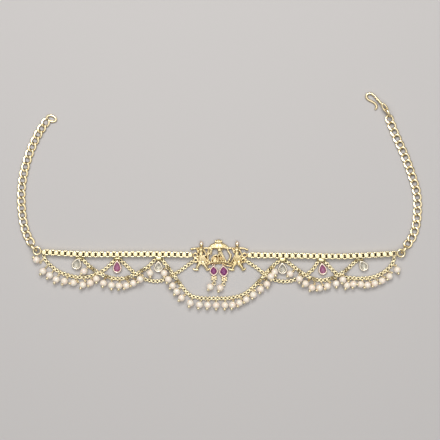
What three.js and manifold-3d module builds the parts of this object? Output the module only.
// An upper-arm ornament of gold-plated brass: a cast palanquin plaque between two box chains,
// seven draped swags of finer chain hung with pearls, eight pear-shaped stones in bezels,
// and two curb chains that fasten round the arm with an S-hook.
//
// It lies open and flat on z = 0. Millimetres, +X to the wearer's right as drawn, +Y towards
// the open ends, +Z up. The origin is the centre of the plaque, on its flat back.

import * as THREE from 'three';
import { mergeVertices } from 'three/addons/utils/BufferGeometryUtils.js';
import Module from 'manifold-3d';

const wasm = await Module();
wasm.setup();

// Driving dimensions

const GAP = 0.3;                  // running gap between neighbouring pieces
const BOX_CHAIN = 2.7;            // side of the square box chain
const SWAG_CHAIN = 1.6;           // thickness of the fine swag chain
const PEARL = 2.9;                // pearl diameter
const BALL = 1.1;                 // gold ball at the tip of each pin
const PIN = 0.5;                  // head pin and its wrapped loop
const TIP_REACH = 1.75;           // pearl centre to ball centre
const CURB_WIRE = 0.75;           // wire of a curb link
const CURB_LENGTH = 4.3;          // outer length of a curb link
const CURB_WIDTH = 3.7;           // outer width of a curb link
const CURB_PITCH = 2.8;           // spacing of the curb links along the chain
const CURB_LEAN = 12;             // degrees each lying link leans on the next one
const RING_WIRE = 0.8;            // end rings and hook
const RING_OUTER = 3.75;
const RING_LEVEL = 1.85;          // height at which rings and hook pass through a standing link
const BEZEL_WALL = 0.4;
const BEZEL_FLOOR = 0.5;
const BEZEL_HEIGHT = 1.7;
const STONE_RISE = 0.5;           // how far a stone's crown stands out of its bezel
const BAIL_HEIGHT = 1.2;
const PLATE = 1.0;                // thickness of the plaque's openwork
const RELIEF = 2.4;               // height of the plaque's figures

const HUMP_TOP = 1.8;             // a chain stays up this far from the middle of a crossing
const HUMP_FOOT = 4.6;            // and is down again this far from it

const UP = new THREE.Vector3(0, 0, 1);

const metal = (color) => new THREE.MeshStandardMaterial({ color, metalness: 1, roughness: 0.3 });
const GOLD = metal(0xd9c27e);
const DARK_GOLD = metal(0xb9a45c);
const PEARL_WHITE = new THREE.MeshStandardMaterial({ color: 0xf2e9dc, roughness: 0.3 });
const PINK_STONE = new THREE.MeshStandardMaterial({ color: 0xa63a8f, roughness: 0.1 });
const CLEAR_STONE = new THREE.MeshStandardMaterial({ color: 0xdadbe0, roughness: 0.1 });

// Routes. Each row is a point that the chain's middle line passes, x and y in mm.

const BOX_ROUTES = {
  left: [[-72.2, 2.0], [-60.8, 1.3], [-52.6, 1.0], [-28.0, 1.1], [-10.9, 0.8]],
  right: [[12.2, 0.7], [33.5, 0.4], [49.9, 0.2], [60.1, 0.6], [72.7, 1.3]],
};

// A swag's crossings are the places where it passes over its neighbour.
const SWAGS = [
  {
    name: 'swag_outer_left',
    route: [[-71.6, -0.2], [-71.1, -1.4], [-69.0, -3.5], [-65.9, -5.9], [-62.0, -7.5], [-57.5, -8.4],
      [-53.4, -8.1], [-49.7, -6.8], [-46.9, -5.3], [-44.0, -2.7]],
    crossings: [],
  },
  {
    name: 'swag_middle_left',
    route: [[-55.3, -1.6], [-53.4, -3.5], [-50.1, -5.8], [-46.9, -7.6], [-44.2, -8.6], [-41.1, -9.0],
      [-38.0, -8.7], [-35.4, -7.7], [-32.1, -6.0], [-28.9, -4.0], [-26.9, -2.0]],
    crossings: [[-48.6, -6.5], [-34.5, -7.0]],
  },
  {
    name: 'swag_inner_left',
    route: [[-39.4, -2.1], [-36.2, -5.1], [-33.7, -7.2], [-30.9, -8.9], [-28.0, -9.8], [-24.7, -10.0],
      [-21.0, -9.0], [-18.2, -7.2], [-15.2, -5.4], [-12.4, -3.3], [-11.0, -2.0]],
    crossings: [],
  },
  {
    name: 'swag_centre',
    route: [[-22.3, -2.3], [-20.2, -4.9], [-17.8, -8.0], [-14.9, -12.3], [-11.6, -15.8], [-7.5, -16.9],
      [-0.9, -17.1], [5.0, -16.9], [10.2, -15.5], [14.2, -12.6], [17.9, -8.6], [20.4, -5.7],
      [23.2, -3.1], [24.1, -2.4]],
    crossings: [[-18.2, -7.3], [19.2, -7.1]],
  },
  {
    name: 'swag_inner_right',
    route: [[11.8, -1.9], [15.0, -4.0], [18.7, -6.8], [22.0, -9.0], [25.3, -10.0], [29.4, -10.0],
      [33.5, -8.5], [36.8, -6.9], [39.2, -4.8], [40.1, -3.3]],
    crossings: [],
  },
  {
    name: 'swag_middle_right',
    route: [[28.9, -2.5], [31.9, -4.7], [35.1, -7.0], [38.4, -8.8], [42.0, -9.6], [45.6, -9.1],
      [49.9, -7.0], [53.2, -4.9], [55.5, -2.8]],
    crossings: [[36.3, -7.5], [49.8, -7.1]],
  },
  {
    name: 'swag_outer_right',
    route: [[44.8, -3.0], [47.0, -5.4], [49.1, -7.2], [51.5, -8.3], [54.8, -8.7], [59.0, -8.9],
      [63.4, -8.4], [67.1, -6.9], [70.0, -4.7], [72.0, -2.0], [72.3, -0.7]],
    crossings: [],
  },
];

// Pearl drops: pearl centre x, y, the bearing of the ball at its tip (0 is straight down the
// page, positive towards +X) and how far the pearl is lifted by a chain that it lies on.
const DROPS = {
  swag_outer_left: [
    [-74.7, -1.2, -130, 0], [-72.1, -5.9, -35, 0], [-69.3, -7.6, -38, 0], [-66.6, -9.3, -27, 0],
    [-63.2, -10.0, -35, 0], [-59.5, -10.6, -80, 0], [-55.7, -11.5, -31, 0], [-52.6, -10.7, -30, 0],
    [-50.1, -9.0, 3, 0],
  ],
  swag_middle_left: [
    [-55.1, -5.9, -45, 0.9], [-47.2, -10.8, -11, 0], [-43.9, -11.7, 0, 0], [-40.8, -11.9, -6, 0],
    [-37.8, -11.8, -35, 0], [-34.9, -10.8, -42, 0], [-32.0, -9.1, -33, 1.9], [-28.0, -6.7, 4, 0.9],
  ],
  swag_inner_left: [],
  swag_centre: [
    [-22.2, -6.7, 0, 0.9], [-20.5, -9.2, -22, 1.9], [-18.8, -11.8, -42, 0], [-17.1, -14.3, -38, 0],
    [-15.1, -16.9, -45, 0], [-11.5, -19.0, -20, 0], [-7.8, -19.7, -18, 0], [-4.4, -19.8, -10, 0],
    [-0.9, -19.9, 0, 0], [2.7, -19.9, -3, 0], [5.8, -19.8, -13, 0], [8.7, -18.9, -27, 0],
    [11.5, -17.5, -35, 0], [14.4, -15.6, -18, 0], [17.4, -13.3, -17, 0], [20.0, -11.2, 8, 0],
    [21.5, -8.0, 4, 1.9], [23.1, -6.2, 13, 0.5],
  ],
  swag_inner_right: [],
  swag_middle_right: [
    [29.5, -7.0, -50, 0], [33.2, -9.0, -4, 1.9], [35.8, -11.0, -48, 0], [38.5, -12.7, -37, 0],
    [41.6, -12.8, -50, 0], [44.8, -12.0, -40, 0], [48.4, -11.0, 0, 0], [51.0, -9.3, -14, 1.9],
  ],
  swag_outer_right: [
    [52.8, -11.7, -25, 0], [55.5, -11.2, -15, 0], [58.5, -11.3, -90, 0], [61.3, -11.6, -50, 0],
    [64.3, -10.9, -41, 0], [67.3, -9.8, -41, 0], [70.3, -8.0, -36, 0], [73.5, -5.3, 15, 0],
  ],
};

// Side settings: bail x and its top edge y, bezel centre x and y, width, length and the turn of
// the bezel's point from +Y (positive towards -X), with its stone.
const SETTINGS = [
  { bail: [-57.0, -0.5], centre: [-58.2, -2.8], width: 3.7, length: 4.8, turn: -22, stone: 'clear' },
  { bail: [-41.5, -0.65], centre: [-41.6, -4.2], width: 3.6, length: 5.0, turn: 0, stone: 'pink' },
  { bail: [-24.5, -0.55], centre: [-24.6, -4.1], width: 3.5, length: 4.5, turn: 0, stone: 'clear' },
  { bail: [26.4, -1.2], centre: [26.5, -4.8], width: 3.6, length: 4.8, turn: 0, stone: 'clear' },
  { bail: [42.3, -1.35], centre: [42.8, -5.1], width: 3.6, length: 5.0, turn: 8, stone: 'pink' },
  { bail: [57.8, -1.2], centre: [59.5, -3.5], width: 3.7, length: 4.9, turn: 33, stone: 'clear' },
];

// Pendants under the plaque: bezel centre, flower bead, jump ring, pearl, bearing of its ball.
const PENDANTS = [
  { side: 'left', centre: [-1.95, -5.95], flower: [-1.8, -9.05], ring: [-1.6, -10.95],
    pearl: [-3.6, -12.6], bearing: -22 },
  { side: 'right', centre: [2.3, -6.1], flower: [2.45, -9.25], ring: [2.3, -11.2],
    pearl: [0.6, -13.1], bearing: -22 },
];
const PENDANT_WIDTH = 3.7;
const PENDANT_LENGTH = 4.9;
const PENDANT_TURN = 4;           // both lean apart a little
const FLOWER = 1.7;
const JUMP_RING = 1.45;
const JUMP_WIRE = 0.45;

const END_RINGS = { left: [-74.4, 2.5], right: [75.0, 1.5] };

// Curb chains run from their free end to their end ring, where the last link stands on edge.
const CURB_ROUTES = {
  left: [[-71.1, 55.2], [-74.1, 50.6], [-77.2, 43.9], [-79.6, 36.4], [-81.1, 28.0], [-80.9, 18.7],
    [-79.2, 10.2], [-76.0, 3.8]],
  right: [[69.55, 59.2], [72.4, 51.5], [76.3, 42.7], [79.4, 34.4], [81.9, 25.6], [81.9, 15.5],
    [80.1, 8.6], [76.35, 3.05]],
};

// The hook's wire, x, y and height, from its free tip round the bowl to the eye.
const HOOK_ROUTE = [
  [64.5, 60.5, 0.4], [65.1, 62.3, 0.4], [63.4, 64.0, 0.4], [61.3, 65.1, 0.45], [61.1, 66.8, 0.55],
  [62.7, 67.3, 0.7], [64.6, 66.1, 0.95], [66.1, 64.0, 1.3], [67.2, 62.7, 1.55],
];
const EYE_CENTRE = [68.4, 61.2];
const EYE_LENGTH = 4.4;
const EYE_WIDTH = 2.4;
const EYE_TURN = -60;             // degrees of its long axis from +X

// Helpers

const degrees = THREE.MathUtils.degToRad;

/** A three.js geometry as a solid, with its shared vertices merged and slivers dropped. */
function solid(geometry) {
  const bare = new THREE.BufferGeometry();
  bare.setAttribute('position', geometry.getAttribute('position').clone());
  if (geometry.index) bare.setIndex(geometry.index.clone());
  const merged = mergeVertices(bare, 1e-4);
  const index = merged.index.array;
  const triangles = [];
  for (let i = 0; i < index.length; i += 3) {
    const [a, b, c] = [index[i], index[i + 1], index[i + 2]];
    if (a !== b && b !== c && c !== a) triangles.push(a, b, c);
  }
  const vertProperties = new Float32Array(merged.getAttribute('position').array);
  return new wasm.Manifold(new wasm.Mesh({
    numProp: 3, vertProperties, triVerts: new Uint32Array(triangles),
  }));
}

/** One solid from several. */
const join = (solids) => solids.reduce((sum, next) => sum.add(next));

/** A named mesh from a solid. */
function mesh(name, body, material) {
  const { vertProperties, triVerts } = body.getMesh();
  const geometry = new THREE.BufferGeometry();
  geometry.setAttribute('position', new THREE.BufferAttribute(new Float32Array(vertProperties), 3));
  geometry.setIndex(new THREE.BufferAttribute(new Uint32Array(triVerts), 1));
  geometry.computeVertexNormals();
  const made = new THREE.Mesh(geometry, material);
  made.name = name;
  return made;
}

const flatCurve = (rows) => new THREE.CatmullRomCurve3(
  rows.map(([x, y, z = 0]) => new THREE.Vector3(x, y, z)), false, 'centripetal');

/** A regular section of so many sides, one of them flat to the ground. */
function section(sides, radius) {
  const points = [];
  for (let i = 0; i < sides; i += 1) {
    const angle = (i + 0.5) * 2 * Math.PI / sides;
    points.push(new THREE.Vector2(radius * Math.cos(angle), radius * Math.sin(angle)));
  }
  return new THREE.Shape(points);
}

/** A solid tube along a curve, with flat ends; radius is that of its corners. */
function tube(curve, radius, sides, steps) {
  return solid(new THREE.ExtrudeGeometry(section(sides, radius), { steps, extrudePath: curve }));
}

/** A short straight rod between two points. */
function rod(from, to, across, sides = 5) {
  const span = new THREE.Vector3().subVectors(to, from);
  const geometry = new THREE.CylinderGeometry(across / 2, across / 2, span.length(), sides);
  geometry.translate(0, span.length() / 2, 0);
  geometry.applyQuaternion(new THREE.Quaternion().setFromUnitVectors(
    new THREE.Vector3(0, 1, 0), span.clone().normalize()));
  geometry.translate(from.x, from.y, from.z);
  return solid(geometry);
}

/** A bead whose poles lie along a direction. */
function bead(centre, diameter, along, around, bands) {
  const geometry = new THREE.SphereGeometry(diameter / 2, around, bands);
  geometry.applyQuaternion(new THREE.Quaternion().setFromUnitVectors(
    new THREE.Vector3(0, 1, 0), along.clone().normalize()));
  geometry.translate(centre.x, centre.y, centre.z);
  return solid(geometry);
}

/** A flat shape raised from one height to another. */
function slab(shape, bottom, top) {
  const geometry = new THREE.ExtrudeGeometry(shape, {
    depth: top - bottom, bevelEnabled: false, curveSegments: 5,
  });
  geometry.translate(0, 0, bottom);
  return solid(geometry);
}

const outline = (rows) => new THREE.Shape(rows.map(([x, y]) => new THREE.Vector2(x, y)));

/** A wire ring lying flat, stretched along X into a link if its length is more than its width. */
function link(length, width, wire, around, sides) {
  const geometry = new THREE.TorusGeometry((width - wire) / 2, wire / 2, sides, around);
  geometry.rotateZ(Math.PI / around);
  const position = geometry.getAttribute('position');
  const stretch = (length - width) / 2;
  for (let i = 0; i < position.count; i += 1) {
    const x = position.getX(i);
    position.setX(i, x + Math.sign(x) * stretch);
  }
  return geometry;
}

// Chains

/** The height of a chain's middle line where it may ride over its neighbours. */
function rideHeight(x, y, crossings) {
  let rise = 0;
  for (const [cx, cy] of crossings) {
    const distance = Math.hypot(x - cx, y - cy);
    const lift = 1 - THREE.MathUtils.smoothstep(distance, HUMP_TOP, HUMP_FOOT);
    rise = Math.max(rise, lift);
  }
  return SWAG_CHAIN / 2 + rise * (SWAG_CHAIN + GAP);
}

/** A swag's middle line, laid on the ground and over the chains that it crosses. */
function swagCurve({ route, crossings }) {
  const plan = flatCurve(route);
  const count = Math.round(plan.getLength() / 1.2);
  const laid = plan.getSpacedPoints(count).map(
    (p) => new THREE.Vector3(p.x, p.y, rideHeight(p.x, p.y, crossings)));
  return new THREE.CatmullRomCurve3(laid, false, 'centripetal');
}

/** The point of a curve that is nearest to a place on the ground. */
function nearest(curve, x, y) {
  let best = null;
  let bestDistance = Infinity;
  for (const point of curve.getSpacedPoints(200)) {
    const distance = Math.hypot(point.x - x, point.y - y);
    if (distance < bestDistance) {
      best = point;
      bestDistance = distance;
    }
  }
  return best;
}

/** A pearl on its head pin, from the point that it hangs on. */
function drop(hangsOn, x, y, bearing, lift) {
  const centre = new THREE.Vector3(x, y, PEARL / 2 + lift);
  const turn = degrees(bearing);
  const along = new THREE.Vector3(Math.sin(turn), -Math.cos(turn), 0);
  const tip = centre.clone().addScaledVector(along, TIP_REACH);
  return join([
    rod(hangsOn, centre, PIN, 4),
    bead(centre, PEARL, along, 6, 4),
    bead(tip, BALL, along, 4, 3),
  ]);
}

function makeSwag(swag) {
  const curve = swagCurve(swag);
  const steps = Math.round(curve.getLength() / 2.4);
  const pieces = [tube(curve, SWAG_CHAIN / 2, 8, steps)];
  for (const [x, y, bearing, lift] of DROPS[swag.name]) {
    pieces.push(drop(nearest(curve, x, y), x, y, bearing, lift));
  }
  return mesh(swag.name, join(pieces), GOLD);
}

function makeBoxChain(side) {
  const level = BOX_CHAIN / 2;
  const curve = flatCurve(BOX_ROUTES[side].map(([x, y]) => [x, y, level]));
  return mesh(`box_chain_${side}`, tube(curve, level * Math.SQRT2, 4, 12), GOLD);
}

/** A curb link that lies leaning on its neighbour, or stands on edge. */
function curbLink(point, heading, stands) {
  const geometry = link(CURB_LENGTH, CURB_WIDTH, CURB_WIRE, 8, 4);
  if (stands) {
    geometry.rotateX(Math.PI / 2);
  } else {
    geometry.rotateY(degrees(CURB_LEAN));
  }
  geometry.rotateZ(Math.atan2(heading.y, heading.x));
  const reach = (CURB_LENGTH - CURB_WIRE) / 2 * Math.sin(degrees(CURB_LEAN));
  const level = stands ? CURB_WIDTH / 2 : CURB_WIRE / 2 + reach;
  geometry.translate(point.x, point.y, level);
  return solid(geometry);
}

const FREE_LINK = { centre: [-68.4, 56.9], length: 5.0, width: 3.6, turn: -32 };

function makeCurbChain(side) {
  const curve = flatCurve(CURB_ROUTES[side]);
  const count = Math.round(curve.getLength() / CURB_PITCH);
  const standing = new Map([[count, END_RINGS[side]]]);
  if (side === 'right') standing.set(0, EYE_CENTRE);
  const links = [];
  for (let i = 0; i <= count; i += 1) {
    const point = curve.getPointAt(i / count);
    const threads = standing.get(i);
    const heading = threads
      ? new THREE.Vector3(threads[0] - point.x, threads[1] - point.y, 0)
      : curve.getTangentAt(i / count);
    links.push(curbLink(point, heading, Boolean(threads)));
  }
  if (side === 'left') {
    const geometry = link(FREE_LINK.length, FREE_LINK.width, CURB_WIRE, 8, 4);
    geometry.rotateZ(degrees(FREE_LINK.turn));
    geometry.translate(...FREE_LINK.centre, CURB_WIRE / 2);
    links.push(solid(geometry));
  }
  return mesh(`curb_chain_${side}`, join(links), GOLD);
}

function makeEndRing(side) {
  const geometry = link(RING_OUTER, RING_OUTER, RING_WIRE, 12, 6);
  geometry.translate(...END_RINGS[side], RING_LEVEL);
  return mesh(`end_ring_${side}`, solid(geometry), GOLD);
}

function makeHook() {
  const wire = tube(flatCurve(HOOK_ROUTE), RING_WIRE / 2, 6, 20);
  const eye = link(EYE_LENGTH, EYE_WIDTH, RING_WIRE, 12, 6);
  eye.rotateZ(degrees(EYE_TURN));
  eye.translate(...EYE_CENTRE, RING_LEVEL);
  return mesh('s_hook', wire.add(solid(eye)), GOLD);
}

// Stones and their settings

/** A pear outline with its point along +Y, then turned and moved. */
function pear(width, length, centre, turn) {
  const points = 12;
  const sharpness = 0.8;
  const widest = 0.79;            // the largest value of the half-width formula
  const angle = degrees(turn);
  const rows = [];
  for (let i = 0; i < points; i += 1) {
    const t = 2 * Math.PI * i / points;
    const half = Math.sin(t) * Math.abs(Math.sin(t / 2)) ** sharpness / widest;
    const x = -half * width / 2;
    const y = Math.cos(t) * length / 2;
    rows.push([
      centre[0] + x * Math.cos(angle) - y * Math.sin(angle),
      centre[1] + x * Math.sin(angle) + y * Math.cos(angle),
    ]);
  }
  return outline(rows);
}

/** The same pear drawn in all round; its point draws back further than its round end. */
function inset({ width, length, centre, turn }, by) {
  const round = by;
  const point = 2.4 * by;
  const shift = (point - round) / 2;
  const angle = degrees(turn);
  const moved = [centre[0] + shift * Math.sin(angle), centre[1] - shift * Math.cos(angle)];
  return pear(width - 2 * by, length - round - point, moved, turn);
}

function bezel(size) {
  const cup = slab(inset(size, 0), 0, BEZEL_HEIGHT);
  const pocket = slab(inset(size, BEZEL_WALL), BEZEL_FLOOR, BEZEL_HEIGHT + 1);
  return cup.subtract(pocket);
}

/** A stone that sits in its bezel: a straight girdle under a crown that draws in. */
function stone(name, size, material) {
  const seat = BEZEL_WALL + GAP;
  const girdle = slab(inset(size, seat), BEZEL_FLOOR + GAP, BEZEL_HEIGHT);
  const crown = slab(inset(size, seat + 0.35), BEZEL_HEIGHT - GAP, BEZEL_HEIGHT + STONE_RISE);
  return mesh(name, girdle.add(crown), material);
}

const STONE_MATERIAL = { pink: PINK_STONE, clear: CLEAR_STONE };

function makeSideSetting(setting, number) {
  const [x, top] = setting.bail;
  const angle = degrees(setting.turn);
  const neck = setting.length / 2 - 0.5;
  const tipX = setting.centre[0] - neck * Math.sin(angle);
  const tipY = setting.centre[1] + neck * Math.cos(angle);
  const bail = outline([[x - 1.1, top], [tipX - 0.6, tipY], [tipX + 0.6, tipY], [x + 1.1, top]]);
  const body = bezel(setting).add(
    slab(bail, 0, BAIL_HEIGHT).subtract(slab(inset(setting, BEZEL_WALL / 2), -1, 9)));
  return mesh(`side_setting_${number}`, body, DARK_GOLD);
}

function makePendant(pendant) {
  const turn = pendant.side === 'left' ? PENDANT_TURN : -PENDANT_TURN;
  const size = { width: PENDANT_WIDTH, length: PENDANT_LENGTH, centre: pendant.centre, turn };
  const flower = new THREE.CylinderGeometry(FLOWER / 2, FLOWER / 2, 1.5, 8);
  flower.rotateX(Math.PI / 2);
  flower.translate(...pendant.flower, 0.75);
  const setting = bezel(size).add(
    solid(flower).subtract(slab(inset(size, BEZEL_WALL / 2), -1, 9)));
  const ring = link(JUMP_RING, JUMP_RING, JUMP_WIRE, 8, 4);
  ring.translate(...pendant.ring, PEARL / 2);
  const [x, y] = pendant.pearl;
  const fromRing = new THREE.Vector3(pendant.ring[0], pendant.ring[1], PEARL / 2);
  const centre = new THREE.Vector3(x, y, PEARL / 2);
  const hangsOn = fromRing.lerp(centre, 1 - (PEARL / 2 + 0.15) / fromRing.distanceTo(centre));
  return [
    mesh(`pendant_setting_${pendant.side}`, setting, GOLD),
    stone(`pendant_stone_${pendant.side}`, size, PINK_STONE),
    mesh(`pendant_ring_${pendant.side}`, solid(ring), GOLD),
    mesh(`pendant_pearl_${pendant.side}`, drop(hangsOn, x, y, pendant.bearing, 0), PEARL_WHITE),
  ];
}

// The palanquin plaque

/** A flat band of one width along a line of points, as a slab. */
function band(rows, width, bottom, top, steps) {
  const curve = flatCurve(rows);
  const left = [];
  const right = [];
  for (let i = 0; i <= steps; i += 1) {
    const p = curve.getPointAt(i / steps);
    const side = curve.getTangentAt(i / steps).cross(UP).multiplyScalar(width / 2);
    left.unshift([p.x - side.x, p.y - side.y]);
    right.push([p.x + side.x, p.y + side.y]);
  }
  return slab(outline([...right, ...left]), bottom, top);
}

/** A rounded lump, an ellipsoid cut flat by the ground. */
function lump(x, y, halfX, halfY, height) {
  const geometry = new THREE.SphereGeometry(1, 8, 4);
  geometry.rotateX(Math.PI / 2);
  geometry.scale(halfX, halfY, height);
  geometry.translate(x, y, 0);
  return solid(geometry);
}

function makeCanopy() {
  const roof = new THREE.Shape();
  roof.moveTo(-4.0, 3.6);
  roof.lineTo(4.1, 3.6);
  roof.quadraticCurveTo(3.7, 5.7, 0.1, 5.9);
  roof.quadraticCurveTo(-3.6, 5.7, -4.0, 3.6);
  return [
    slab(roof, 0, RELIEF),
    lump(0, 6.2, 1.5, 0.95, RELIEF),
    band([[-3.6, 3.9], [-4.5, 2.0], [-4.6, 0.3], [-3.5, -2.3]], 0.8, 0, 1.4, 6),
    band([[3.9, 3.9], [4.6, 1.7], [5.2, 0.3], [4.2, -2.3]], 0.8, 0, 1.4, 6),
    band([[-3.4, 3.9], [-2.9, 2.4], [-3.6, 1.2], [-4.3, 0.6]], 0.8, 0, 1.4, 4),
  ];
}

function makeSeat() {
  return [
    band([[-4.5, -3.0], [-3.0, -2.4], [0, -2.1], [2.6, -2.2], [5.9, -3.6]], 0.9, 0, 1.8, 10),
    band([[-2.6, -2.6], [-1.6, -2.9], [0, -2.6]], 0.7, 0, PLATE, 4),
    band([[1.4, -2.5], [3.0, -3.25], [5.6, -3.7]], 0.5, 0, PLATE, 5),
  ];
}

function makePassenger() {
  return [
    lump(0.35, 2.8, 0.65, 0.75, 2.2),
    band([[0.7, 2.4], [1.6, 0.9], [2.8, -1.8]], 1.0, 0, 1.8, 4),
    band([[0.3, 2.2], [0.5, 0.6], [-0.2, -0.6]], 1.0, 0, 1.6, 4),
    band([[-2.9, -2.0], [-2.4, -0.4], [-1.4, 0.5], [-0.5, -0.2], [0.6, -1.9]], 0.8, 0, 1.6, 8),
    slab(outline([[-2.6, -2.1], [-2.0, -0.5], [-0.9, -0.3], [2.2, -0.9], [2.6, -2.1]]), 0, PLATE),
  ];
}

/** A striding bearer round its own middle: turban, body, arms, flared skirt, legs and feet. */
function makeBearer(x) {
  const at = (rows) => rows.map(([dx, y]) => [x + dx, y]);
  return [
    lump(x, 5.1, 0.65, 1.15, 2.3),
    slab(outline(at([[-0.45, 5.6], [0.45, 5.6], [0.1, 6.6], [-0.3, 6.6]])), 0, 1.2),
    slab(outline(at([[-1.2, 0.6], [1.1, 0.6], [1.2, 3.4], [0.5, 4.3], [-0.5, 4.3], [-1.1, 3.4]])),
      0, 2.0),
    slab(outline(at([[-1.5, -2.6], [0.4, -2.9], [2.4, -2.3], [1.2, 0.9], [-1.1, 0.9]])), 0, RELIEF),
    band(at([[-0.9, 3.5], [-1.9, 2.5], [-1.3, 1.5]]), 0.7, 0, 1.6, 3),
    band(at([[1.0, 3.4], [1.8, 2.0], [2.2, 0.8], [1.2, 0.4]]), 0.7, 0, 1.6, 4),
    band(at([[-0.5, -2.2], [-1.5, -4.0], [-1.9, -5.1]]), 1.2, 0, 1.6, 3),
    band(at([[-3.4, -5.1], [-1.4, -5.4]]), 0.9, 0, 1.4, 1),
    band(at([[0.6, -2.2], [1.5, -3.8], [2.6, -4.9]]), 1.2, 0, 1.6, 3),
    band(at([[2.0, -5.5], [3.2, -5.1]]), 0.9, 0, 1.4, 1),
  ];
}

const BEARERS = [-7.1, 7.6];
const POLE = { from: -11.1, to: 12.0, y: 3.45, across: 0.8, level: 1.0 };

// The four loops at the plaque's sides take the box chains and the inner swags.
const LOOPS = [
  { x: -9.5, y: 0.6, size: 2.2 },
  { x: -9.3, y: -1.5, size: 2.0 },
  { x: 10.8, y: 0.6, size: 2.2 },
  { x: 10.4, y: -1.6, size: 2.0 },
];
const LOOP_WIRE = 0.65;

function makeLoop({ x, y, size }) {
  const geometry = link(size, size, LOOP_WIRE, 8, 4);
  geometry.translate(x, y, LOOP_WIRE / 2);
  return solid(geometry);
}

/** The strut that carries both loops of one side on the bearer beside them. */
function loopArm(x, towards) {
  return band([[x, -0.5], [x + towards * 1.6, -0.5]], 1.6, 0, PLATE, 1);
}

function makePlaque() {
  const pole = rod(
    new THREE.Vector3(POLE.from, POLE.y, POLE.level),
    new THREE.Vector3(POLE.to, POLE.y, POLE.level), POLE.across, 8);
  const castings = [
    ...makeCanopy(),
    ...makeSeat(),
    ...makePassenger(),
    ...BEARERS.flatMap(makeBearer),
    ...LOOPS.map(makeLoop),
    loopArm(-8.6, 1),
    loopArm(9.9, -1),
    pole,
  ];
  const ground = new THREE.BoxGeometry(60, 60, 10);
  ground.translate(0, 0, -5);
  return mesh('palanquin_plaque', join(castings).subtract(solid(ground)), GOLD);
}

// Assembly

const armlet = new THREE.Group();
armlet.add(makePlaque());
PENDANTS.forEach((pendant) => armlet.add(...makePendant(pendant)));
SETTINGS.forEach((setting, i) => {
  armlet.add(makeSideSetting(setting, i + 1));
  armlet.add(stone(`side_stone_${i + 1}`, setting, STONE_MATERIAL[setting.stone]));
});
for (const side of ['left', 'right']) {
  armlet.add(makeBoxChain(side), makeEndRing(side), makeCurbChain(side));
}
armlet.add(makeHook());
SWAGS.forEach((swag) => armlet.add(makeSwag(swag)));

export default armlet;
